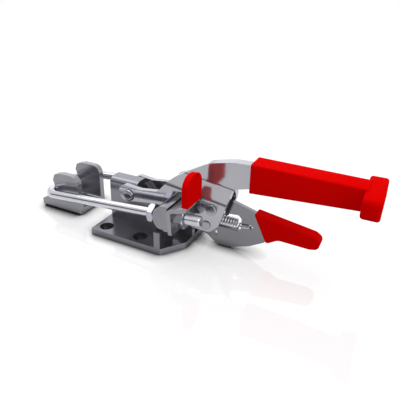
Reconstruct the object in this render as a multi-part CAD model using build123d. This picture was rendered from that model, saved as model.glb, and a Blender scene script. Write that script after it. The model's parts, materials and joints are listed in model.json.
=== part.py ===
from build123d import *
from math import atan2, cos, degrees, hypot, radians, sin, tan
import os

# Latch toggle clamp: a hooked latch plate, a flanged base and a lever handle that draws a U-bolt.
# Frame: millimetres, +Z up, +X from the latch plate to the handle, origin at the centre of the
# base's four bolt holes on its underside. The clamp is drawn closed.

os.makedirs("parts", exist_ok=True)

# ---------------------------------------------------------------- driving dimensions

# Running and assembly clearances
pin_clearance = 0.05          # radial, pins and journals in their bores
side_clearance = 0.2          # between flat faces that slide past each other
seat_clearance = 0.6          # round the U-bolt where it hooks the latch plate

# Base plate with its two upturned stops
plate_thickness = 5.0
bolt_pitch_x = 31.5
bolt_pitch_y = 53.0
bolt_hole_diameter = 11.0
plate_front_margin = 8.8      # bolt hole line to the front edge
plate_side_margin = 8.6       # bolt hole line to the side edge
stop_offset = 17.3            # bolt hole line to the front face of the stops
stop_width = 19.0
stop_gap = 0.3                # trunnion above the stops when the clamp is closed
bend_relief = 1.0             # small radius inside the folded stops and on the plate's corners
tongue_reach = 50.4           # rear edge of the plate
tongue_half_width = 17.5
tongue_corner = 4.0

# Tower: one sheet folded over into two walls
tower_sheet = 4.0
tower_width = 16.0
tower_height = 38.2
tower_bend = 5.0
bridge_rear = 1.0             # rear edge of the folded top
wall_shoulder = (8.0, 26.5)
wall_rear = 24.5
tail_height = 12.0
tenon_length = 12.0
tenon_front = -16.0
tenon_rear = 20.0
catch_x = 46.0
catch_z = 15.0
catch_pin_radius = 2.5
catch_ear_radius = 5.5

# Main pivot and trunnion
pivot_x = -3.5
pivot_z = 29.0
pivot_radius = 4.0
pivot_head_radius = 4.8
pivot_head_height = 2.2
bush_wall = 1.2
trunnion_x = 40.0
trunnion_z = 28.3
trunnion_radius = 10.0
trunnion_flat = 3.6           # flat face from the trunnion's axis
trunnion_half_length = 32.2
journal_radius = 6.0

# Latch plate
latch_sheet = 5.2
latch_width = 33.4
latch_bend = 3.0
latch_front = -92.9
latch_rear = -51.4
latch_top = 34.9
latch_foot_angle = 27.0
latch_nose_angle = 68.0
latch_bolt_diameter = 11.0
latch_bolt_pitch = 20.0
latch_bolt_x = -70.5

# U-bolt with its nuts and thumb bracket
hook_x = -79.6
hook_z = 18.7
rod_radius = 3.6
thread_radius = 3.95
thread_length = 44.2
rod_overhang = 26.0           # beyond the trunnion's axis
leg_pitch = 50.0
rod_hole_clearance = 0.3
nut_across_flats = 13.0
nut_height = 7.8
front_nut_height = 5.0
thumb_sheet = 3.0
thumb_front_width = 19.5
thumb_edge = 34.2             # outer edge of the thumb bracket from the middle plane
thumb_drop = 10.6             # below the rod
shelf_clearance = 0.2         # under the thumb bracket's shelf, over the rear nut's flat
thumb_slope = 8.0
thumb_reach = 18.2
thumb_rise = 24.0
thumb_lean = 4.8
coat_thickness = 1.0
coat_start = 3.2              # height of the dipped coat's edge above the shelf

# Handle: two stamped plates, joggled together into one tang
handle_sheet = 4.0
joggle_angle = -8.0
joggle_start = 49.3           # distance of the outer bend line from the origin
joggle_run = 9.6
joggle_bend = 5.0
eye_radius = 6.8
eye_offset = 2.5              # eye's centre beyond the pivot
eye_lift = 1.3                # and above it
boss_radius = 10.6
tang_end = 158.0
tang_low = 55.6
tang_high = 66.4
tang_pin_radius = 2.5
tang_pin_first = 106.0
tang_pin_pitch = 36.0

# Moulded grip with its cross bar
grip_start = 93.1
grip_end = 164.8
grip_half_width = 8.4
grip_low_start = 51.0
grip_high_start = 72.5
grip_low_end = 55.6
grip_high_end = 71.1
grip_round = 1.2
bar_length = 42.6
bar_depth = 11.4
bar_low = 55.6
bar_high = 70.0
bar_round = 2.2

# Trigger, its spring and their pins
trigger_x = 67.3
trigger_z = 34.0
trigger_pin_radius = 3.0
trigger_head_radius = 4.2
trigger_sheet = 3.5
anchor_x = 63.7
anchor_z = 20.7
anchor_radius = 2.5
anchor_head_radius = 3.4
flat_head_height = 1.2
spacer_radius = 4.2
hook_hole_x = 93.8
hook_hole_z = 21.6
hook_hole_radius = 1.7
spring_wire = 0.6             # radius
wire_knuckle = 0.3
spring_radius = 3.6
spring_pitch = 2.1
spring_turns = 7
spring_start = 69.0
spring_tail = 1.5             # coil's end to the ring
trigger_cover_half_width = 4.6
cover_round = 1.2
nose_gap = 0.8                # trigger's nose short of the catch pin

# ---------------------------------------------------------------- derived sizes

plate_front = -bolt_pitch_x / 2 - plate_front_margin
plate_half_width = bolt_pitch_y / 2 + plate_side_margin
stop_front = bolt_pitch_x / 2 + stop_offset
stop_top = trunnion_z - trunnion_radius - stop_gap
tower_half = tower_width / 2
arm_inner = tower_half + side_clearance
arm_outer = arm_inner + handle_sheet
leg_y = leg_pitch / 2
rod_length = hypot(trunnion_x - hook_x, trunnion_z - hook_z)
rod_tilt = degrees(atan2(trunnion_z - hook_z, trunnion_x - hook_x))
latch_half = latch_width / 2
hook_corner = leg_y - latch_half
thumb_shelf = nut_across_flats / 2 + shelf_clearance + thumb_sheet / 2
seat_radius = rod_radius + seat_clearance


# ---------------------------------------------------------------- shared forms

def between(face, y_low, y_high):
    """A profile drawn in (x, z) and carried from y_low to y_high."""
    side = Plane(origin=(0, y_high, 0), x_dir=(1, 0, 0), z_dir=(0, -1, 0))
    return extrude(side * face, amount=y_high - y_low)


def along_x(face, x_low, x_high):
    """A section drawn in (y, z) and carried from x_low to x_high."""
    section = Plane(origin=(x_low, 0, 0), x_dir=(0, 1, 0), z_dir=(1, 0, 0))
    return extrude(section * face, amount=x_high - x_low)


def rounded(points):
    """A closed outline from (x, y, corner radius) points."""
    corners = [(x, y) for x, y, radius in points]
    radii = [radius for x, y, radius in points]
    return make_face(FilletPolyline(*corners, radius=radii, close=True).edges())


def disc(x, z, radius):
    return Pos(x, z) * Circle(radius)


def pin(x, z, radius, half_length):
    """A round bar across the middle plane."""
    return between(disc(x, z, radius), -half_length, half_length)


def both_sides(solid):
    return solid, mirror(solid, about=Plane.XZ)


def at_trunnion(solid):
    """Carry a solid drawn along the rod, from the trunnion's axis, to its place in the clamp."""
    return Location((trunnion_x, 0, trunnion_z), (0, -rod_tilt, 0)) * solid


def write(name, *solids):
    shape = solids[0] if len(solids) == 1 else Compound(children=list(solids))
    export_step(shape, "parts/" + name + ".step")


# ---------------------------------------------------------------- base

def tenon_boxes(clearance):
    """The feet of the tower's walls, or their slots in the plate when clearance is given."""
    width = tower_sheet + 2 * clearance
    length = tenon_length + 2 * clearance
    for x in (tenon_front, tenon_rear):
        for side in (-1, 1):
            y = side * (tower_half - tower_sheet / 2)
            yield Pos(x, y, plate_thickness / 2) * Box(length, width, plate_thickness)


def make_base_plate():
    stop_rear = stop_front + plate_thickness
    half = [
        (plate_front, 0, 0),
        (plate_front, plate_half_width, bend_relief),
        (stop_rear, plate_half_width, 0),
        (tongue_reach, tongue_half_width, tongue_corner),
        (tongue_reach, 0, 0),
    ]
    outline = rounded(half)
    plate = extrude(outline, plate_thickness)
    fold = [
        (stop_front - 3 * bend_relief, 0, 0),
        (stop_rear, 0, 0),
        (stop_rear, stop_top, 0),
        (stop_front, stop_top, 0),
        (stop_front, plate_thickness, bend_relief),
        (stop_front - 3 * bend_relief, plate_thickness, 0),
    ]
    plate += between(rounded(fold), plate_half_width - stop_width, plate_half_width)
    plate += mirror(plate, about=Plane.XZ)
    for x in (-bolt_pitch_x / 2, bolt_pitch_x / 2):
        for y in (-bolt_pitch_y / 2, bolt_pitch_y / 2):
            plate -= Pos(x, y, plate_thickness / 2) * Cylinder(bolt_hole_diameter / 2, 2 * plate_thickness)
    for slot in tenon_boxes(pin_clearance):
        plate -= slot
    return plate


def make_pivot_tower():
    outer = Pos(0, tower_height / 2) * Rectangle(tower_width, tower_height)
    outer = fillet(outer.vertices().group_by(Axis.Y)[-1], tower_bend)
    inner_height = tower_height - tower_sheet
    inner = Pos(0, inner_height / 2) * Rectangle(tower_width - 2 * tower_sheet, inner_height)
    inner = fillet(inner.vertices().group_by(Axis.Y)[-1], tower_bend - tower_sheet)
    fold = along_x(outer - inner, plate_front, tongue_reach)
    wall = rounded([
        (plate_front, plate_thickness, 0),
        (plate_front, tower_height + 1, 0),
        (bridge_rear, tower_height + 1, 0),
        (bridge_rear, tower_height - tower_sheet, 2),
        (wall_shoulder[0], wall_shoulder[1], 4),
        (wall_rear, wall_shoulder[1] - 1, 2),
        (wall_rear - 2, tail_height, 6),
        (tongue_reach, tail_height, 3),
        (tongue_reach, plate_thickness, 0),
    ])
    wall += disc(catch_x, catch_z, catch_ear_radius)
    tower = fold & between(wall, -tower_width, tower_width)
    for tenon in tenon_boxes(0):
        tower += tenon
    tower -= pin(pivot_x, pivot_z, pivot_radius + bush_wall, tower_width)
    tower -= pin(catch_x, catch_z, catch_pin_radius, tower_width)
    return tower


def make_pivot_bushes():
    ring = disc(pivot_x, pivot_z, pivot_radius + bush_wall) - disc(pivot_x, pivot_z, pivot_radius + pin_clearance)
    return both_sides(between(ring, tower_half - tower_sheet, tower_half))


def make_catch_pin():
    return pin(catch_x, catch_z, catch_pin_radius, tower_half)


# ---------------------------------------------------------------- latch plate

def make_latch_plate():
    """One folded sheet with two hooks that share a seat struck round the U-bolt."""
    foot = radians(latch_foot_angle)
    nose = radians(latch_nose_angle)
    foot_touch = (hook_x + seat_radius * sin(foot), hook_z - seat_radius * cos(foot))
    nose_touch = (hook_x + seat_radius * sin(nose), hook_z + seat_radius * cos(nose))
    foot_top = foot_touch[1] - (foot_touch[0] - latch_front) * tan(foot)
    nose_height = latch_top - 7.5
    nose_tip = nose_touch[0] - (nose_height - nose_touch[1]) / tan(nose)
    front = Polyline((latch_front, 0), (latch_front, foot_top), foot_touch)
    seat = ThreePointArc(foot_touch, (hook_x + seat_radius, hook_z), nose_touch)
    top = FilletPolyline(
        nose_touch,
        (nose_tip, nose_height),
        (nose_tip + 2.2, latch_top - 1.8),
        (nose_tip + 9.5, latch_top),
        (latch_rear, latch_top),
        (latch_rear, 0),
        (latch_front, 0),
        radius=[1.2, 3, 6, 7, 0],
    )
    hook = make_face(front.edges() + seat.edges() + top.edges())
    outer = Pos(0, latch_top / 2) * Rectangle(latch_width, latch_top)
    outer = fillet(outer.vertices().group_by(Axis.Y)[0], latch_bend)
    inner = Pos(0, latch_sheet + latch_top / 2) * Rectangle(latch_width - 2 * latch_sheet, latch_top)
    inner = fillet(inner.vertices().group_by(Axis.Y)[0], 1.5)
    channel = along_x(outer - inner, latch_front, latch_rear)
    latch = channel & between(hook, -latch_width, latch_width)
    for offset in (-latch_bolt_pitch / 2, latch_bolt_pitch / 2):
        hole = Pos(latch_bolt_x + offset, 0, 0) * Cylinder(latch_bolt_diameter / 2, 4 * latch_sheet)
        latch -= hole
    return latch


# ---------------------------------------------------------------- U-bolt group

def make_u_bolt():
    """One bent rod; its two threads are rolled a little larger than the shank."""
    rear = rod_overhang - thread_length
    path = FilletPolyline(
        (rear, -leg_y, 0),
        (-rod_length, -leg_y, 0),
        (-rod_length, leg_y, 0),
        (rear, leg_y, 0),
        radius=hook_corner,
    )
    shank = sweep(Plane(origin=path @ 0, z_dir=path % 0) * Circle(rod_radius), path=path)
    bolt = shank
    for side in (-1, 1):
        thread = Cylinder(thread_radius, thread_length, align=(Align.CENTER, Align.CENTER, Align.MIN))
        ends = thread.edges().filter_by(GeomType.CIRCLE)
        thread = chamfer(ends, 0.7)
        bolt += Location((rear, side * leg_y, 0), (0, 90, 0)) * thread
    return at_trunnion(bolt)


def make_trunnion():
    end_length = trunnion_half_length - arm_outer - side_clearance
    end = between(Circle(trunnion_radius), arm_outer + side_clearance, trunnion_half_length)
    end -= Pos(trunnion_flat + trunnion_radius, arm_outer + end_length / 2, 0) * Box(
        2 * trunnion_radius, 2 * end_length, 3 * trunnion_radius)
    edge = end.faces().sort_by(Axis.Y)[-1].edges()
    end = chamfer(edge, 0.6)
    bar = end + mirror(end, about=Plane.XZ)
    bar += between(Circle(journal_radius), -arm_outer - side_clearance, arm_outer + side_clearance)
    for side in (-1, 1):
        bar -= Location((0, side * leg_y, 0), (0, 90, 0)) * Cylinder(
            thread_radius + rod_hole_clearance, 3 * trunnion_radius)
    return at_trunnion(bar)


def make_nut(height, turn):
    """Hexagon nut with its corners turned back at both faces, axis along the rod."""
    corner_radius = nut_across_flats / 3 ** 0.5
    body = extrude(RegularPolygon(corner_radius, 6), height / 2, both=True)
    turned = Cylinder(corner_radius, height)
    turned = chamfer(turned.edges().filter_by(GeomType.CIRCLE), corner_radius - nut_across_flats / 2)
    body = body & turned
    body -= Cylinder(thread_radius + pin_clearance, 2 * height)
    return Rot(0, 90, 0) * Rot(0, 0, turn) * body

def make_nuts():
    """Front nuts stand on a corner; rear nuts have a flat under the thumb bracket's shelf."""
    front = -trunnion_radius - pin_clearance - front_nut_height / 2
    rear = trunnion_flat + nut_height / 2
    nuts = [Pos(front, y, 0) * make_nut(front_nut_height, 0) for y in (-leg_y, leg_y)]
    nuts.append(Pos(rear + thumb_sheet, -leg_y, 0) * make_nut(nut_height, 30))
    nuts.append(Pos(rear, leg_y, 0) * make_nut(nut_height, 30))
    return [at_trunnion(nut) for nut in nuts]

def thumb_line():
    """Middle line of the thumb bracket's fold in (x, z), from its lower edge to its tip."""
    slope = radians(thumb_slope)
    lean = radians(thumb_lean)
    x = trunnion_flat + thumb_sheet / 2
    knee = (x + thumb_reach * 0.75, thumb_shelf + thumb_reach * 0.75 * tan(slope))
    tip = (knee[0] + thumb_rise * sin(lean), knee[1] + thumb_rise * cos(lean))
    return (x, -thumb_drop), (x, thumb_shelf), knee, tip


def thumb_front_view(low, high, inset):
    """Outline of the thumb bracket seen along the rod, with its round top."""
    half = thumb_front_width / 2 - inset
    middle = thumb_half_middle()
    top = high - inset
    return Pos(-middle, 0) * rounded([
        (-half, low, 2 if inset == 0 else 1.5),
        (half, low, 2 if inset == 0 else 1.5),
        (half, top, half * 0.9),
        (-half, top, half * 0.9),
    ])


def thumb_half_middle():
    return thumb_edge - thumb_front_width / 2


def make_thumb_bracket():
    foot, shoulder, knee, tip = thumb_line()
    line = FilletPolyline(foot, shoulder, knee, tip, radius=thumb_sheet)
    strip = between(trace(line, thumb_sheet), -thumb_edge, thumb_front_width - thumb_edge)
    bracket = strip & along_x(thumb_front_view(-thumb_drop - 1, tip[1], 0), 0, 3 * thumb_reach)
    bracket -= Location((0, -leg_y, 0), (0, 90, 0)) * Cylinder(
        thread_radius + rod_hole_clearance, 3 * trunnion_radius)
    return at_trunnion(bracket)


def make_thumb_grip():
    """Dipped coat on the bracket's upright tab, hollow for the tab itself."""
    foot, shoulder, knee, tip = thumb_line()
    lean = radians(thumb_lean)
    start = (knee[0] + coat_start * sin(lean), knee[1] + coat_start * cos(lean))
    end = (tip[0] + coat_thickness * sin(lean), tip[1] + coat_thickness * cos(lean))
    coat = between(
        trace(Line(start, end), thumb_sheet + 2 * coat_thickness),
        -thumb_edge - coat_thickness,
        thumb_front_width - thumb_edge + coat_thickness,
    )
    outline = thumb_front_view(start[1] - 1, tip[1], -coat_thickness)
    coat = coat & along_x(outline, 0, 3 * thumb_reach)
    coat = fillet(coat.edges().group_by(Axis.Z)[-1], 1.2)
    inner = between(trace(Line(start, tip), thumb_sheet), -thumb_edge, thumb_front_width - thumb_edge)
    inner = inner & along_x(thumb_front_view(start[1] - 5, tip[1], 0), 0, 3 * thumb_reach)
    return at_trunnion(coat - inner)


# ---------------------------------------------------------------- handle

def handle_outline():
    """Side view of the stamped plate: pivot eye, arm, trunnion boss, trigger lobe and tang."""
    eye_x = pivot_x - eye_offset
    eye_z = pivot_z + eye_lift
    neck = grip_start + 1
    lever = rounded([
        (eye_x, eye_z + eye_radius, 0),
        (pivot_x + 9.5, pivot_z + 6.8, 12),
        (pivot_x + 26.1, pivot_z + 8.9, 5),
        (trunnion_x - 7.0, trunnion_z + 21.5, 25),
        (trigger_x - 6.8, trigger_z + 31.4, 30),
        (neck - 15.0, tang_high + 3.2, 30),
        (neck, tang_high + 3.6, 0),
        (neck, tang_high, 0),
        (tang_end, tang_high, 2),
        (tang_end, tang_low, 2),
        (neck, tang_low, 0),
        (neck, tang_low - 2.6, 0),
        (trigger_x + 12.3, trigger_z + 15.0, 5),
        (trigger_x + 11.9, trigger_z + 8.4, 5),
        (trigger_x + 9.3, trigger_z - 2.0, 15),
        (anchor_x + 9.3, anchor_z + 0.8, 8),
        (anchor_x + 2.5, anchor_z - 5.5, 6),
        (anchor_x - 6.7, anchor_z - 5.3, 5),
        (trunnion_x, trunnion_z - boss_radius, 0),
        (trunnion_x - boss_radius * 0.8, trunnion_z - boss_radius * 0.6, 0),
        (pivot_x + 28.4, pivot_z - 1.0, 6),
        (eye_x, eye_z - eye_radius, 0),
    ])
    lever += disc(eye_x, eye_z, eye_radius)
    lever += disc(trunnion_x, trunnion_z, boss_radius)
    return lever

def make_handle_plate():
    """The far plate: an outer slab, a slanted joggle and an inner slab, cut to the side view."""
    middle = handle_sheet / 2
    fold = FilletPolyline(
        (-60, arm_inner + middle),
        (joggle_start, arm_inner + middle),
        (joggle_start + joggle_run, middle),
        (140, middle),
        radius=joggle_bend,
    )
    tilt = radians(joggle_angle)
    run = Vector(cos(tilt), 0, sin(tilt))
    across = Vector(-sin(tilt), 0, cos(tilt))
    section = Plane(origin=run * (tang_end + 20), x_dir=across, z_dir=-run)
    sheet = extrude(section * trace(fold, handle_sheet), amount=tang_end + 60)
    plate = sheet & between(handle_outline(), -1, 2 * arm_outer)
    plate -= pin(pivot_x, pivot_z, pivot_radius, 2 * arm_outer)
    plate -= pin(trunnion_x, trunnion_z, journal_radius + pin_clearance, 2 * arm_outer)
    plate -= pin(trigger_x, trigger_z, trigger_pin_radius, 2 * arm_outer)
    plate -= pin(anchor_x, anchor_z, anchor_radius, 2 * arm_outer)
    for x in (tang_pin_first, tang_pin_first + tang_pin_pitch):
        plate -= pin(x, (tang_low + tang_high) / 2, tang_pin_radius, 2 * arm_outer)
    return plate


def make_tang_rivets():
    height = (tang_low + tang_high) / 2
    return [
        pin(x, height, tang_pin_radius, handle_sheet)
        for x in (tang_pin_first, tang_pin_first + tang_pin_pitch)
    ]


def make_handle_grip():
    """Tapered moulding over the tang, with its cross bar in one piece."""
    def section(x, low, high):
        face = Pos(0, (low + high) / 2) * RectangleRounded(2 * grip_half_width, high - low, grip_round)
        return Plane(origin=(x, 0, 0), x_dir=(0, 1, 0), z_dir=(1, 0, 0)) * face

    sleeve = loft([
        section(grip_start, grip_low_start, grip_high_start),
        section(grip_end + 2, grip_low_end, grip_high_end),
    ])
    bar = Pos(grip_end + bar_depth / 2, 0, (bar_low + bar_high) / 2) * Box(
        bar_depth, bar_length, bar_high - bar_low)
    bar = fillet(bar.edges(), bar_round)
    grip = sleeve + bar
    tang = between(handle_outline(), -handle_sheet, handle_sheet)
    return grip - tang


def headed_rivet(x, z, radius, head_radius, head_height, dome):
    """A rivet through both handle plates with a head closed over each."""
    rivet = pin(x, z, radius, arm_outer)
    head = Pos(x, z) * Circle(head_radius)
    cap = between(head, arm_outer, arm_outer + head_height)
    rim = cap.faces().sort_by(Axis.Y)[-1].edges()
    cap = fillet(rim, dome)
    return rivet + cap + mirror(cap, about=Plane.XZ)


def make_pivot_rivet():
    return headed_rivet(pivot_x, pivot_z, pivot_radius, pivot_head_radius, pivot_head_height,
                        pivot_head_height * 0.9)


def make_trigger_rivet():
    return headed_rivet(trigger_x, trigger_z, trigger_pin_radius, trigger_head_radius,
                        flat_head_height, flat_head_height * 0.5)


def make_anchor_pin():
    return headed_rivet(anchor_x, anchor_z, anchor_radius, anchor_head_radius,
                        flat_head_height, flat_head_height * 0.5)


def make_trigger_spacers():
    ring = disc(trigger_x, trigger_z, spacer_radius) - disc(trigger_x, trigger_z, trigger_pin_radius)
    return both_sides(between(ring, trigger_sheet / 2 + side_clearance, arm_inner))


# ---------------------------------------------------------------- trigger

def from_trigger_pivot(points):
    """An outline given as (x, z, corner radius) from the trigger's pivot."""
    return rounded([(trigger_x + x, trigger_z + z, radius) for x, z, radius in points])

def make_trigger_plate():
    nose_x = catch_x + catch_pin_radius + nose_gap - trigger_x
    blade = from_trigger_pivot([
        (-5.5, 5.0, 5),
        (5.0, 6.6, 3),
        (11.5, 5.0, 0),
        (28.7, 0.2, 0),
        (42.7, -3.6, 3),
        (70.0, -7.8, 2.2),
        (69.7, -13.1, 2.2),
        (45.7, -12.8, 6),
        (37.3, -21.8, 6),
        (26.2, -28.2, 12),
        (17.2, -31.2, 8),
        (10.2, -33.2, 6),
        (0.7, -33.2, 6),
        (-7.3, -27.4, 3),
        (-15.8, -24.4, 1),
        (nose_x, catch_z - trigger_z - 1.4, 1),
        (-14.8, -18.5, 3),
        (-14.8, -8.0, 6),
    ])
    window = from_trigger_pivot([
        (-9.7, -17.8, 2),
        (17.3, -17.8, 2),
        (19.5, -15.5, 2),
        (19.5, -7.6, 2),
        (17.1, -5.0, 2),
        (-7.3, -7.0, 3),
        (-9.7, -10.0, 3),
    ])
    blade -= window
    blade -= Pos(trigger_x - 0.4, trigger_z - 24.1) * SlotOverall(4.2, 2.4, rotation=90)
    blade -= disc(trigger_x, trigger_z, trigger_pin_radius + pin_clearance)
    blade -= disc(hook_hole_x, hook_hole_z, hook_hole_radius)
    return between(blade, -trigger_sheet / 2, trigger_sheet / 2)

def make_trigger_grip():
    """Dipped grip that closes round the trigger's tail."""
    tail = from_trigger_pivot([
        (28.5, 1.4, 1.5),
        (71.7, -5.4, 4),
        (76.5, -8.6, 4),
        (74.9, -15.2, 4),
        (69.2, -16.4, 4),
        (47.7, -15.8, 8),
        (39.3, -21.0, 2),
    ])
    grip = between(tail, -trigger_cover_half_width, trigger_cover_half_width)
    rims = grip.faces().filter_by(Axis.Y).edges()
    grip = fillet(rims, cover_round)
    return grip - make_trigger_plate()

def wire_between(start, end):
    """Straight spring wire with a small bend knuckle at both ends."""
    line = Line(start, end)
    wire = sweep(Plane(origin=line @ 0, z_dir=line % 0) * Circle(spring_wire), path=line)
    knuckle = Sphere(spring_wire + wire_knuckle)
    return wire + Pos(*start) * knuckle + Pos(*end) * knuckle


def make_trigger_spring():
    """Extension spring: open coil, an eye round the anchor pin and a ring through the trigger."""
    height = (anchor_z + hook_hole_z) / 2
    coil_end = spring_start + spring_pitch * spring_turns
    helix = Helix(spring_pitch, coil_end - spring_start, spring_radius)
    coil = sweep(Plane(origin=helix @ 0, z_dir=helix % 0) * Circle(spring_wire), path=helix)
    coil = Location((spring_start, 0, height), (0, 90, 0)) * coil
    eye_centre = anchor_radius + spring_wire + pin_clearance
    eye = Location((anchor_x, 0, anchor_z), (90, 0, 0)) * Torus(eye_centre, spring_wire)
    ring_radius = (hook_hole_x - coil_end - spring_tail) / 2
    ring = Pos(hook_hole_x - ring_radius, 0, hook_hole_z) * Torus(ring_radius, spring_wire)
    low = height - spring_radius
    lead_in = wire_between((anchor_x, 0, anchor_z - eye_centre), (spring_start, 0, low))
    lead_out = wire_between((coil_end, 0, low), (hook_hole_x - 2 * ring_radius, 0, hook_hole_z))
    return coil + lead_in + lead_out + eye + ring


# ---------------------------------------------------------------- write every piece

handle_far, handle_near = both_sides(make_handle_plate())

write("base_plate", make_base_plate())
write("pivot_tower", make_pivot_tower())
write("pivot_bushes", *make_pivot_bushes())
write("catch_pin", make_catch_pin())
write("latch_plate", make_latch_plate())
write("u_bolt", make_u_bolt())
write("trunnion", make_trunnion())
write("u_bolt_nuts", *make_nuts())
write("thumb_bracket", make_thumb_bracket())
write("thumb_grip", make_thumb_grip())
write("handle_plate_near", handle_near)
write("handle_plate_far", handle_far)
write("handle_grip", make_handle_grip())
write("tang_rivets", *make_tang_rivets())
write("pivot_rivet", make_pivot_rivet())
write("trigger_rivet", make_trigger_rivet())
write("trigger_spacers", *make_trigger_spacers())
write("spring_anchor_pin", make_anchor_pin())
write("trigger_plate", make_trigger_plate())
write("trigger_grip", make_trigger_grip())
write("trigger_spring", make_trigger_spring())
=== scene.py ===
import bmesh
import bpy
import json
import math
from mathutils import Matrix, Vector


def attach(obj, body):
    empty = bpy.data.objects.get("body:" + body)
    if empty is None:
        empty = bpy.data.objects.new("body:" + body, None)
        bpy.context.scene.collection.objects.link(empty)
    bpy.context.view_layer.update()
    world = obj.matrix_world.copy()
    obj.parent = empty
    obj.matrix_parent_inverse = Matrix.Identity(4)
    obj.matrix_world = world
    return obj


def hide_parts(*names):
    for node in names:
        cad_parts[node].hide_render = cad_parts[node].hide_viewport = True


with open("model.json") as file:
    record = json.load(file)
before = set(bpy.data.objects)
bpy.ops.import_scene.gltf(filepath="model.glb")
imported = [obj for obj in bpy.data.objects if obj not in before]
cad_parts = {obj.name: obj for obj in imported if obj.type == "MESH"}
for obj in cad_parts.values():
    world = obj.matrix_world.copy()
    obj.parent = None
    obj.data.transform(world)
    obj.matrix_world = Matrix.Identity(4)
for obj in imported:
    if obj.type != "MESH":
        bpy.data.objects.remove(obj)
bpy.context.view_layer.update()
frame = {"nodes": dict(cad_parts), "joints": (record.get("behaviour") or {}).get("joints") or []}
nodes = frame["nodes"]


# Base plate. Cold-rolled steel, blanked and folded up into two stops, then nickel plated: plating
# on a rolled sheet stays smooth enough to mirror what is near it, a little broken by the rolling
# grain. The press leaves its edges rounded.

def linear(hex_colour):
    """sRGB hex to a linear RGBA colour."""
    channels = [int(hex_colour[i:i + 2], 16) / 255 for i in (1, 3, 5)]
    return [c / 12.92 if c <= 0.04045 else ((c + 0.055) / 1.055) ** 2.4 for c in channels] + [1.0]


def add(tree, kind, inputs=None, **settings):
    """Adds one shader node: settings are its properties, inputs its sockets' values or links."""
    node = tree.nodes.new(kind)
    for name, value in settings.items():
        setattr(node, name, value)
    for socket, value in (inputs or {}).items():
        if isinstance(value, bpy.types.NodeSocket):
            tree.links.new(value, node.inputs[socket])
        else:
            node.inputs[socket].default_value = value
    return node


def new_material(name):
    material = bpy.data.materials.new(name)
    material.use_nodes = True
    tree = material.node_tree
    tree.nodes.clear()
    place = add(tree, "ShaderNodeTexCoord").outputs["Object"]
    return material, tree, place


def per_metre(millimetres):
    """Scale of a pattern whose features repeat every so many millimetres."""
    return 1000.0 / millimetres


def nickel_plated_sheet(name, light, dark, roll_axis=0, roughness=0.12, milky=0.2):
    """Plated rolled sheet: soft mirror, faint grain drawn out along the rolling direction.
    milky is the share of light that the plating scatters instead of mirroring."""
    material, tree, place = new_material(name)
    stretch = [1.0, 1.0, 1.0]
    stretch[roll_axis] = 0.08
    drawn = add(tree, "ShaderNodeMapping", {"Vector": place, "Scale": stretch})
    grain = add(tree, "ShaderNodeTexNoise", {
        "Vector": drawn.outputs[0], "Scale": per_metre(0.9), "Detail": 3.0, "Roughness": 0.6})
    cloud = add(tree, "ShaderNodeTexNoise", {
        "Vector": place, "Scale": per_metre(22), "Detail": 2.0, "Roughness": 0.5})
    shade = add(tree, "ShaderNodeMix", {
        "Factor": cloud.outputs["Fac"], "A": linear(dark), "B": linear(light)}, data_type="RGBA")
    gloss = add(tree, "ShaderNodeMapRange", {
        "Value": grain.outputs["Fac"], "From Min": 0.3, "From Max": 0.7, "To Min": 0.9 * roughness,
        "To Max": 1.1 * roughness})
    wave = add(tree, "ShaderNodeBump", {
        "Height": cloud.outputs["Fac"], "Strength": 0.10, "Distance": 0.0006})
    relief = add(tree, "ShaderNodeBump", {
        "Height": grain.outputs["Fac"], "Normal": wave.outputs[0], "Strength": 0.03,
        "Distance": 0.00004})
    steel = add(tree, "ShaderNodeBsdfPrincipled", {
        "Base Color": shade.outputs["Result"], "Metallic": 1.0 - milky,
        "Roughness": gloss.outputs["Result"], "Normal": relief.outputs[0]})
    add(tree, "ShaderNodeOutputMaterial", {"Surface": steel.outputs[0]})
    return material


def dress(node_name, material, edge=0.0):
    """Gives a CAD piece its finish, and its edges the small round that pressing and plating leave."""
    piece = nodes[node_name]
    piece.data.materials.clear()
    piece.data.materials.append(material)
    if edge:
        weld = piece.modifiers.new("one_skin", "WELD")
        weld.merge_threshold = 1e-6
        flat = piece.modifiers.new("flat_faces", "DECIMATE")
        flat.decimate_type = "DISSOLVE"
        flat.angle_limit = math.radians(0.5)
        round_edge = piece.modifiers.new("rounded_edges", "BEVEL")
        round_edge.width = edge
        round_edge.segments = 3
        round_edge.limit_method = "ANGLE"
        round_edge.angle_limit = math.radians(35)
        round_edge.use_clamp_overlap = True
        normals = piece.modifiers.new("even_shading", "WEIGHTED_NORMAL")
        normals.keep_sharp = False
        normals.weight = 100
    return piece


base_steel = nickel_plated_sheet("nickel_plated_base_sheet", "#808086", "#727278", roughness=0.2)
dress("base_plate", base_steel, 0.0004)


# Pivot tower. A thinner sheet folded over into a narrow inverted U, with its feet in the base's
# slots; the same plating as the base's, a shade lighter.

tower_steel = nickel_plated_sheet("nickel_plated_tower_sheet", "#86868C", "#7A7A80", roughness=0.2)
dress("pivot_tower", tower_steel, 0.0004)


# Pivot bushes. Sintered bronze rings pressed into the tower's walls, brown-gold and finely porous.

bronze, tree, place = new_material("sintered_bronze")
pores = add(tree, "ShaderNodeTexNoise", {"Vector": place, "Scale": per_metre(0.2), "Detail": 2.0})
tone = add(tree, "ShaderNodeMix", {
    "Factor": pores.outputs["Fac"], "A": linear("#7A5F38"), "B": linear("#A9875A")}, data_type="RGBA")
pits = add(tree, "ShaderNodeBump", {
    "Height": pores.outputs["Fac"], "Strength": 0.3, "Distance": 0.00003})
ring = add(tree, "ShaderNodeBsdfPrincipled", {
    "Base Color": tone.outputs["Result"], "Metallic": 1.0, "Roughness": 0.45, "Normal": pits.outputs[0]})
add(tree, "ShaderNodeOutputMaterial", {"Surface": ring.outputs[0]})
dress("pivot_bushes", bronze)


# Catch pin. Ground steel pin riveted across the tower's tail; turned and plated like the rivets,
# it is smoother than the sheet round it.

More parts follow.
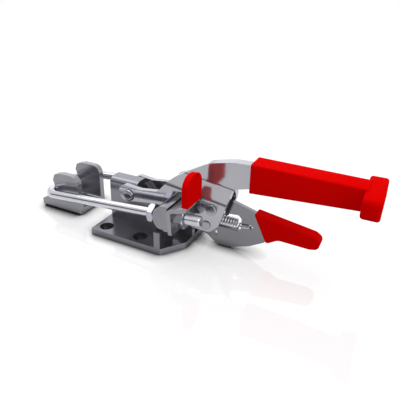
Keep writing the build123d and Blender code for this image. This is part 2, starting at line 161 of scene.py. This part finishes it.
def turned_steel(name, light, dark, roughness, ring_axis, ring_mm):
    """Turned and plated steel: tighter mirror, with fine tool rings round the part's axis."""
    material, tree, place = new_material(name)
    rings = add(tree, "ShaderNodeTexWave", {
        "Vector": place, "Scale": per_metre(ring_mm) / 20, "Distortion": 1.5, "Detail": 1.0},
        wave_type="BANDS", bands_direction=ring_axis)
    blush = add(tree, "ShaderNodeTexNoise", {"Vector": place, "Scale": per_metre(6), "Detail": 2.0})
    tone = add(tree, "ShaderNodeMix", {
        "Factor": blush.outputs["Fac"], "A": linear(dark), "B": linear(light)}, data_type="RGBA")
    gloss = add(tree, "ShaderNodeMapRange", {
        "Value": blush.outputs["Fac"], "To Min": roughness * 0.8, "To Max": roughness * 1.25})
    relief = add(tree, "ShaderNodeBump", {
        "Height": rings.outputs["Fac"], "Strength": 0.05, "Distance": 0.00003})
    steel = add(tree, "ShaderNodeBsdfPrincipled", {
        "Base Color": tone.outputs["Result"], "Metallic": 1.0, "Roughness": gloss.outputs["Result"],
        "Normal": relief.outputs[0]})
    add(tree, "ShaderNodeOutputMaterial", {"Surface": steel.outputs[0]})
    return material


rivet_steel = turned_steel("turned_nickel_plated_steel", "#A0A0A6", "#909096", 0.14, "Y", 0.4)
dress("catch_pin", rivet_steel)


# Latch plate. One thick sheet folded into a channel, its two ears cut into hooks that share the
# U-bolt's seat. Plated like the base, a shade lighter.

latch_steel = nickel_plated_sheet(
    "nickel_plated_latch_sheet", "#98989E", "#8A8A90", roughness=0.2, milky=0.3)
dress("latch_plate", latch_steel, 0.00045)


# U-bolt. Bright drawn rod bent into a U, with a rolled M8 thread on both legs: the drawing die
# leaves it smoother than any sheet, and the thread's crests catch the light in a row.

swivel = next(j for j in frame["joints"] if j["name"] == "u_bolt_swivel")
trunnion_axis = Vector(swivel["pos_m"])
rod_run = 0.1196
rod_drop = 0.0096
rod_length = math.hypot(rod_run, rod_drop)
rod_tilt = math.atan2(rod_drop, rod_run)
rod_frame = Matrix.Translation(trunnion_axis) @ Matrix.Rotation(-rod_tilt, 4, "Y")
leg_y = 0.025
bend_radius = 0.010
rod_radius = 0.0036
thread_pitch = 0.00125
thread_outer = 0.00395
thread_root = 0.0033
thread_length = 0.0442
thread_end = 0.026
thread_start = thread_end - thread_length
flank_slope = 2.6
root_share = 0.15
end_chamfer_depth = 0.0007
end_chamfer_length = 0.0008
run_out = 2 * thread_pitch
rings_per_turn = 8
bend_step = 6
rod_sides = 40


def tube_along(stations, sides):
    """Vertices and faces of a round skin through (centre, radius, normal, binormal) stations."""
    points = []
    faces = []
    for centre, radii, across, up in stations:
        for i in range(sides):
            turn = 2 * math.pi * i / sides
            radius = radii(turn) if callable(radii) else radii
            points.append(centre + radius * (math.cos(turn) * across + math.sin(turn) * up))
    for ring in range(len(stations) - 1):
        for i in range(sides):
            a = ring * sides + i
            b = ring * sides + (i + 1) % sides
            faces.append((a, b, b + sides, a + sides))
    faces.append(tuple(reversed(range(sides))))
    faces.append(tuple(range(len(points) - sides, len(points))))
    return points, faces


def thread_radius(x, turn):
    """Radius of a rolled thread at x along the leg and at an angle round it, run out at both ends."""
    phase = (x / thread_pitch - turn / (2 * math.pi)) % 1.0
    rise = min(1.0, max(0.0, flank_slope * abs(phase - 0.5) - root_share))
    crest = thread_outer - end_chamfer_depth * max(0.0, 1 - (thread_end - x) / end_chamfer_length)
    depth = min(1.0, (x - thread_start) / run_out)
    return rod_radius + (thread_root + (crest - thread_root) * rise - rod_radius) * depth


def leg_stations(side):
    """Thread of one leg, from its end towards the bend."""
    steps = int((thread_end - thread_start) / thread_pitch * rings_per_turn)
    out = []
    for i in range(steps + 1):
        x = thread_end + (thread_start - thread_end) * i / steps
        centre = Vector((x, side * leg_y, 0))
        radius = (lambda turn, at=x: thread_radius(at, turn if side < 0 else -turn))
        out.append((centre, radius, Vector((0, side, 0)), Vector((0, 0, 1))))
    return out


def bend_stations():
    """Plain rod from the near thread round the two corners to the far thread."""
    out = []
    for side, first, last in ((-1, 0, 90), (1, 90, 180)):
        corner = Vector((bend_radius - rod_length, side * (leg_y - bend_radius), 0))
        for degree in range(first, last + 1, bend_step):
            turn = math.radians(degree)
            outward = Vector((-math.sin(turn), -math.cos(turn), 0))
            out.append((corner + bend_radius * outward, rod_radius, outward, Vector((0, 0, 1))))
    return out


stations = leg_stations(-1) + bend_stations() + list(reversed(leg_stations(1)))
points, faces = tube_along(stations, rod_sides)
rod_mesh = bpy.data.meshes.new("u_bolt_rod")
rod_mesh.from_pydata([rod_frame @ p for p in points], [], faces)
rod_mesh.update()
for polygon in rod_mesh.polygons:
    polygon.use_smooth = len(polygon.vertices) == 4
rod = bpy.data.objects.new("u_bolt_rod", rod_mesh)
bpy.context.collection.objects.link(rod)

drawn_steel, tree, place = new_material("bright_drawn_steel")
blush = add(tree, "ShaderNodeTexNoise", {"Vector": place, "Scale": per_metre(8), "Detail": 2.0})
tone = add(tree, "ShaderNodeMix", {
    "Factor": blush.outputs["Fac"], "A": linear("#BDBDC5"), "B": linear("#D2D2D8")}, data_type="RGBA")
lines = add(tree, "ShaderNodeMapping", {"Vector": place, "Scale": (0.03, 1.0, 1.0)})
die_marks = add(tree, "ShaderNodeTexNoise", {
    "Vector": lines.outputs[0], "Scale": per_metre(0.5), "Detail": 2.0})
gloss = add(tree, "ShaderNodeMapRange", {
    "Value": die_marks.outputs["Fac"], "From Min": 0.3, "From Max": 0.7, "To Min": 0.1, "To Max": 0.18})
steel = add(tree, "ShaderNodeBsdfPrincipled", {
    "Base Color": tone.outputs["Result"], "Metallic": 1.0, "Roughness": gloss.outputs["Result"]})
add(tree, "ShaderNodeOutputMaterial", {"Surface": steel.outputs[0]})
rod_mesh.materials.append(drawn_steel)
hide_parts("u_bolt")
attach(rod, "u_bolt")


# Trunnion. Round bar with a turned journal between the handle's plates; its ends are milled flat
# for the nuts. Plated steel, darker than the rod that runs through it.

trunnion_steel = turned_steel("turned_trunnion_steel", "#8A8A8E", "#7C7C80", 0.16, "Y", 0.4)
dress("trunnion", trunnion_steel, 0.0011)


# Nuts. Four cold-formed hexagon nuts, plated bright, with their corners turned back at both faces.

nut_steel = turned_steel("cold_formed_plated_steel", "#B4B4BE", "#9A9AA4", 0.2, "X", 0.35)
dress("u_bolt_nuts", nut_steel, 0.0002)


# Thumb bracket. Thin sheet bent twice under the near nut; its shelf and foot show bare plating.

bracket_steel = nickel_plated_sheet("nickel_plated_bracket_sheet", "#96969A", "#88888C", roll_axis=2)
dress("thumb_bracket", bracket_steel, 0.0003)


# Thumb grip. The bracket's tab is dipped in red vinyl: a thick soft skin with a rounded rim, and
# a smooth but faintly dimpled surface that spreads its highlights.

def red_vinyl(name, light, dark, roughness):
    """Dipped or moulded vinyl: even red, faint dimples and a soft clear skin."""
    material, tree, place = new_material(name)
    dimples = add(tree, "ShaderNodeTexNoise", {
        "Vector": place, "Scale": per_metre(1.1), "Detail": 2.0, "Roughness": 0.45})
    flow = add(tree, "ShaderNodeTexNoise", {"Vector": place, "Scale": per_metre(30), "Detail": 1.0})
    tone = add(tree, "ShaderNodeMix", {
        "Factor": flow.outputs["Fac"], "A": linear(dark), "B": linear(light)}, data_type="RGBA")
    gloss = add(tree, "ShaderNodeMapRange", {
        "Value": dimples.outputs["Fac"], "From Min": 0.3, "From Max": 0.7,
        "To Min": roughness * 0.85, "To Max": roughness * 1.15})
    relief = add(tree, "ShaderNodeBump", {
        "Height": dimples.outputs["Fac"], "Strength": 0.08, "Distance": 0.0001})
    skin = add(tree, "ShaderNodeBsdfPrincipled", {
        "Base Color": tone.outputs["Result"], "Roughness": gloss.outputs["Result"],
        "Normal": relief.outputs[0], "IOR": 1.5, "Specular IOR Level": 0.0, "Coat Weight": 0.02,
        "Coat Roughness": 0.3})
    add(tree, "ShaderNodeOutputMaterial", {"Surface": skin.outputs[0]})
    return material


dipped_red = red_vinyl("dipped_red_vinyl", "#DC0100", "#CE0100", 0.34)
dress("thumb_grip", dipped_red)


# Handle plates. Two stamped plates outside the tower, stepped together above the trigger so that
# they meet in one tang. Thick plated sheet, the brightest of the clamp's mirrors.

handle_steel = nickel_plated_sheet("nickel_plated_handle_sheet", "#B0B0B6", "#A4A4AA", milky=0.15)
dress("handle_plate_near", handle_steel, 0.0005)
dress("handle_plate_far", handle_steel, 0.0005)


# Handle grip. Red vinyl moulded over the tang, with its cross bar in one piece; the mould leaves
# it slightly glossier than the dipped skins.

moulded_red = red_vinyl("moulded_red_vinyl", "#D80100", "#D00100", 0.3)


def rounded_block(name, front, rear, radius, rim):
    """A block between two upright ends, each given as x, half width, low and high, in metres:
    radius rounds its lengthwise edges, rim those round its two ends."""
    block = bmesh.new()
    bmesh.ops.create_cube(block, size=1.0)
    for corner in block.verts:
        x, half_width, low, high = rear if corner.co.x > 0 else front
        corner.co = (x, math.copysign(half_width, corner.co.y), high if corner.co.z > 0 else low)
    half_length = (rear[0] - front[0]) / 2

    def lengthwise(edge):
        return abs(edge.verts[0].co.x - edge.verts[1].co.x) > half_length

    bmesh.ops.bevel(block, geom=[edge for edge in block.edges if lengthwise(edge)], offset=radius,
                    segments=6, profile=0.5, affect="EDGES")
    bmesh.ops.bevel(block, geom=[edge for edge in block.edges if not lengthwise(edge)], offset=rim,
                    segments=3, profile=0.5, affect="EDGES")
    mesh = bpy.data.meshes.new(name)
    block.to_mesh(mesh)
    block.free()
    moulding = bpy.data.objects.new(name, mesh)
    bpy.context.scene.collection.objects.link(moulding)
    return moulding


sleeve_half_width = 0.0084
sleeve_front = (0.0931, sleeve_half_width, 0.0510, 0.0725)
sleeve_rear = (0.1668, sleeve_half_width, 0.0556, 0.0711)
bar_section = (0.0206, 0.0556, 0.0703)
bar_front = (0.1648, *bar_section)
bar_rear = (0.1762, *bar_section)
grip = rounded_block("moulded_handle_grip", sleeve_front, sleeve_rear, radius=0.0012, rim=0.0003)
cross_bar = rounded_block("cross_bar", bar_front, bar_rear, radius=0.0042, rim=0.0018)
join = grip.modifiers.new("one_moulding", "BOOLEAN")
join.operation = "UNION"
join.solver = "EXACT"
join.object = cross_bar
joined = bpy.data.meshes.new_from_object(grip.evaluated_get(bpy.context.evaluated_depsgraph_get()))
grip.modifiers.clear()
grip.data = joined
joined.shade_smooth()
joined.set_sharp_from_angle(angle=math.radians(40))
joined.materials.clear()
joined.materials.append(moulded_red)
bpy.data.objects.remove(cross_bar)
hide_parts("handle_grip")
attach(grip, "handle")


# Tang rivets. Plain pins through the two tangs, closed in by the grip.

dress("tang_rivets", rivet_steel)


# Pivot rivet, trigger rivet and spring anchor pin. Turned steel, headed over the handle's plates
# and plated; the pivot's domed heads are the brightest points of the arms.

dress("pivot_rivet", rivet_steel)
dress("trigger_rivet", rivet_steel)
dress("spring_anchor_pin", rivet_steel)


# Trigger spacers. Turned rings that hold the trigger in the middle of the handle.

dress("trigger_spacers", rivet_steel)


# Trigger plate. Blanked plate with a window for its spring, a short slot and a hole for the
# spring's ring; plated like the handle.

trigger_steel = nickel_plated_sheet("nickel_plated_trigger_sheet", "#86868A", "#78787C")
dress("trigger_plate", trigger_steel, 0.0004)


# Trigger grip. The trigger's tail is dipped in the same red vinyl as the thumb tab.

dress("trigger_grip", dipped_red)


# Trigger spring. Zinc-plated music wire, with an eye round its pin and a ring through the trigger.

wire, tree, place = new_material("plated_music_wire")
blush = add(tree, "ShaderNodeTexNoise", {"Vector": place, "Scale": per_metre(3), "Detail": 2.0})
tone = add(tree, "ShaderNodeMix", {
    "Factor": blush.outputs["Fac"], "A": linear("#A4A4AC"), "B": linear("#C8C8D0")}, data_type="RGBA")
steel = add(tree, "ShaderNodeBsdfPrincipled", {
    "Base Color": tone.outputs["Result"], "Metallic": 1.0, "Roughness": 0.22})
add(tree, "ShaderNodeOutputMaterial", {"Surface": steel.outputs[0]})
dress("trigger_spring", wire)


# Studio floor. A white laminate table top, polished enough to hold a faint image of what stands
# on it. It turns white towards the camera and in reflections and keeps the soft shadow; a shadow
# is painted dark into it under the base plate, which its bolt holes show, and a contact shade close to the
# feet.

def any_of(tree, *outputs):
    """1 where any of these values, each 0 or 1, is 1."""
    total = outputs[0]
    for output in outputs[1:]:
        total = add(tree, "ShaderNodeMath", {0: total, 1: output}, operation="MAXIMUM").outputs[0]
    return total


floor_mesh = bpy.data.meshes.new("studio_floor")
floor_reach = 3
floor_level = -0.0001
floor_corners = [(x * floor_reach, y * floor_reach, floor_level)
                 for x, y in ((-1, -1), (1, -1), (1, 1), (-1, 1))]
floor_mesh.from_pydata(floor_corners, [], [(0, 1, 2, 3)])
floor = bpy.data.objects.new("studio_floor", floor_mesh)
bpy.context.collection.objects.link(floor)
laminate, tree, place = new_material("white_laminate")
# Painted shadow: inside the base plate's outline the floor's colour is painted dark and its glow is taken
# away.
plate_middle = (0.006, 0, 0)
plate_half_length = 0.028
plate_half_width = 0.033
centred = add(tree, "ShaderNodeVectorMath", {0: place, 1: plate_middle}, operation="SUBTRACT")
inward = add(tree, "ShaderNodeVectorMath", {0: centred.outputs[0]}, operation="ABSOLUTE")
inward = add(tree, "ShaderNodeSeparateXYZ", {0: inward.outputs[0]}).outputs
beside = add(tree, "ShaderNodeMath", {
    0: inward["X"], 1: plate_half_length}, operation="GREATER_THAN").outputs[0]
before = add(tree, "ShaderNodeMath", {
    0: inward["Y"], 1: plate_half_width}, operation="GREATER_THAN").outputs[0]
# Painted contact shade: where the floor's ambient occlusion is low, close to the feet, its colour is
# painted dark and its glow taken away.
foot = add(tree, "ShaderNodeAmbientOcclusion", {"Distance": 0.012}, samples=16)
open_air = add(tree, "ShaderNodeMapRange", {
    "Value": foot.outputs["AO"], "From Min": 0.5, "From Max": 0.98})
clear = add(tree, "ShaderNodeMath", {
    0: any_of(tree, beside, before), 1: open_air.outputs["Result"]}, operation="MULTIPLY")
haze = add(tree, "ShaderNodeTexNoise", {"Vector": place, "Scale": per_metre(60), "Detail": 2.0})
cover = add(tree, "ShaderNodeMix", {
    "Factor": haze.outputs["Fac"], "A": linear("#A6A6A8"), "B": linear("#ACACAE")}, data_type="RGBA")
# The dark colour here is the painted shadow and painted contact shade.
with_painted_shade = add(tree, "ShaderNodeMix", {
    "Factor": clear.outputs[0], "A": linear("#303032"), "B": cover.outputs["Result"]}, data_type="RGBA")
top = add(tree, "ShaderNodeBsdfPrincipled", {
    "Base Color": with_painted_shade.outputs["Result"], "Roughness": 0.03, "IOR": 1.8})
rays = add(tree, "ShaderNodeLightPath").outputs
reach = add(tree, "ShaderNodeVectorMath", {0: place}, operation="LENGTH")
outskirts = add(tree, "ShaderNodeMapRange", {
    "Value": reach.outputs["Value"], "From Min": 0.2, "From Max": 0.7, "To Min": 0.58, "To Max": 1.0},
    interpolation_type="SMOOTHSTEP")
white = add(tree, "ShaderNodeMath", {
    0: clear.outputs[0], 1: outskirts.outputs["Result"]}, operation="MULTIPLY")
lift = add(tree, "ShaderNodeMath", {
    0: any_of(tree, rays["Is Camera Ray"], rays["Is Glossy Ray"], rays["Is Transmission Ray"]),
    1: white.outputs[0]}, operation="MULTIPLY")
glow = add(tree, "ShaderNodeEmission", {"Color": linear("#FFFFFF"), "Strength": lift.outputs[0]})
both = add(tree, "ShaderNodeAddShader", {0: top.outputs[0], 1: glow.outputs[0]})
add(tree, "ShaderNodeOutputMaterial", {"Surface": both.outputs[0]})
floor_mesh.materials.append(laminate)


# Studio light. A white room, darker low down in front, which the mirrors need; a strong soft box
# nearly overhead, a weak one behind, kept off the floor, and one at the handle's end.

world = bpy.data.worlds.new("studio_room")
bpy.context.scene.world = world
world.use_nodes = True
tree = world.node_tree
tree.nodes.clear()
rays = add(tree, "ShaderNodeLightPath").outputs
mirrored = any_of(tree, rays["Is Glossy Ray"], rays["Is Transmission Ray"])
heading = add(tree, "ShaderNodeSeparateXYZ", {
    0: add(tree, "ShaderNodeTexCoord").outputs["Generated"]}).outputs
ahead = add(tree, "ShaderNodeMapRange", {"Value": heading["Y"], "From Min": -0.3, "From Max": -0.7},
            interpolation_type="SMOOTHSTEP")
low = add(tree, "ShaderNodeMapRange", {"Value": heading["Z"], "From Min": 0.6, "From Max": 0.25},
          interpolation_type="SMOOTHSTEP")
opening = add(tree, "ShaderNodeMath", {
    0: ahead.outputs["Result"], 1: low.outputs["Result"]}, operation="MULTIPLY")
wall = add(tree, "ShaderNodeMapRange", {"Value": opening.outputs[0], "To Min": 1.0, "To Max": 0.15})
indirect = add(tree, "ShaderNodeMix", {
    "Factor": mirrored, "A": 0.62, "B": wall.outputs["Result"]})
level = add(tree, "ShaderNodeMix", {
    "Factor": rays["Is Camera Ray"], "A": indirect.outputs["Result"], "B": 1.0})
room = add(tree, "ShaderNodeBackground", {"Color": linear("#FFFFFF"), "Strength": level.outputs["Result"]})
add(tree, "ShaderNodeOutputWorld", {"Surface": room.outputs[0]})


clamp_middle = Vector((0.03, 0, 0.03))


def soft_box(name, place, size, watts, tint):
    """An oblong lamp that looks at the middle of the clamp."""
    light = bpy.data.lights.new(name, "AREA")
    light.shape = "RECTANGLE"
    light.size, light.size_y = size
    light.energy = watts
    light.color = linear(tint)[:3]
    lamp = bpy.data.objects.new(name, light)
    lamp.location = place
    lamp.rotation_euler = (clamp_middle - Vector(place)).to_track_quat("-Z", "Y").to_euler()
    bpy.context.collection.objects.link(lamp)
    return lamp


back_box = soft_box("back_soft_box", (-0.42, 0.92, 0.6), (1.2, 0.8), 1.5, "#F0F0FF")
soft_box("top_soft_box", (-0.3, 0.12, 1.1), (1.1, 1.1), 7.4, "#FFFFFF")
soft_box("side_soft_box", (1.0, -0.25, 0.5), (0.8, 0.6), 3.2, "#FFFFFF")
flagged = bpy.data.collections.new("flagged_from_back_box")
flagged.objects.link(floor)
back_box.light_linking.receiver_collection = flagged
flagged.collection_objects[0].light_linking.link_state = "EXCLUDE"


# Camera. A normal lens, a third of a metre from the clamp, above its front right.

azimuth, elevation, roll = math.radians(27.405), math.radians(22.866), math.radians(0.626)
back = Vector((math.sin(azimuth) * math.cos(elevation), -math.cos(azimuth) * math.cos(elevation),
               math.sin(elevation)))
level_right = Vector((math.cos(azimuth), math.sin(azimuth), 0))
level_up = back.cross(level_right)
right = math.cos(roll) * level_right + math.sin(roll) * level_up
up = -math.sin(roll) * level_right + math.cos(roll) * level_up
camera_data = bpy.data.cameras.new("camera")
camera_data.sensor_width = 36
camera_data.lens = 39.49
camera_data.shift_x = 0.025
camera_data.shift_y = -0.0752
camera_data.clip_start = 0.01
camera = bpy.data.objects.new("camera", camera_data)
camera_target = Vector((0.043784, 0, 0.055475))
camera_distance = 0.322943
stand = camera_target + camera_distance * back
camera.matrix_world = Matrix((
    (right.x, up.x, back.x, stand.x),
    (right.y, up.y, back.y, stand.y),
    (right.z, up.z, back.z, stand.z),
    (0, 0, 0, 1)))
bpy.context.collection.objects.link(camera)
bpy.context.scene.camera = camera
bpy.context.scene.view_settings.view_transform = "Standard"
